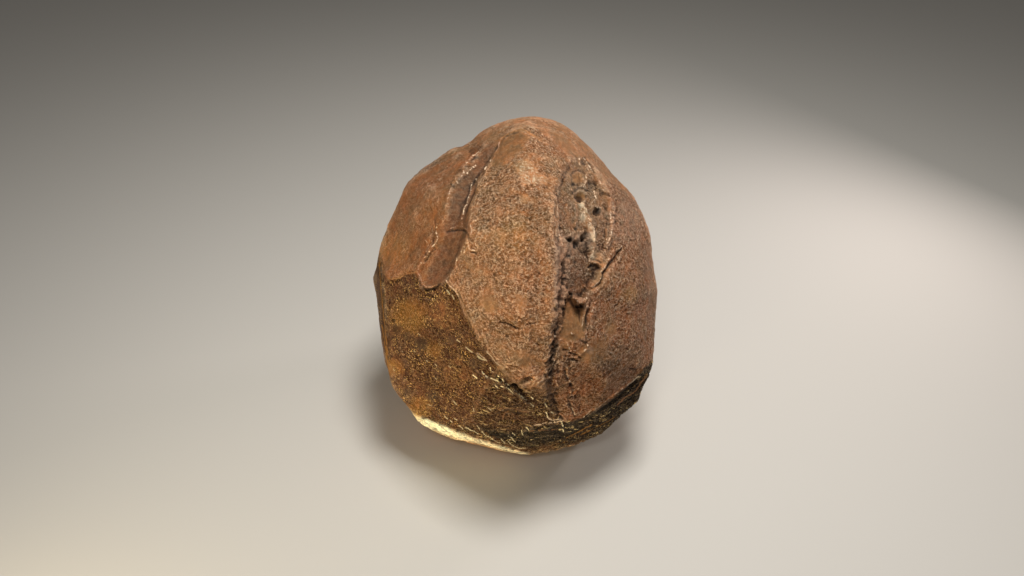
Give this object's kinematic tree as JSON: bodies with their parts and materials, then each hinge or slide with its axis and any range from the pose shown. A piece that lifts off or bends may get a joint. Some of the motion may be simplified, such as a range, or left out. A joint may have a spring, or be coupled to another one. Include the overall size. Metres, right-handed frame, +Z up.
{
  "type": "boulder",
  "caption": "Free-standing weathered boulder of crusted brown sandstone, faceted and egg-shaped, with a smooth groove, a crumbling fissure and a flat face to rest on.",
  "frame": {"origin": "centre of the stone's footprint box, on the flat face that it rests on", "axes": "+Z up out of the ground, -Y towards the side with the groove and the fissure, +X to that side's right, where the fissure is"},
  "size_m": [0.6955, 0.7681, 0.7971],
  "materials": {
    "sandstone": null
  },
  "bodies": {
    "root": {"boulder": "sandstone"}
  },
  "joints": []
}
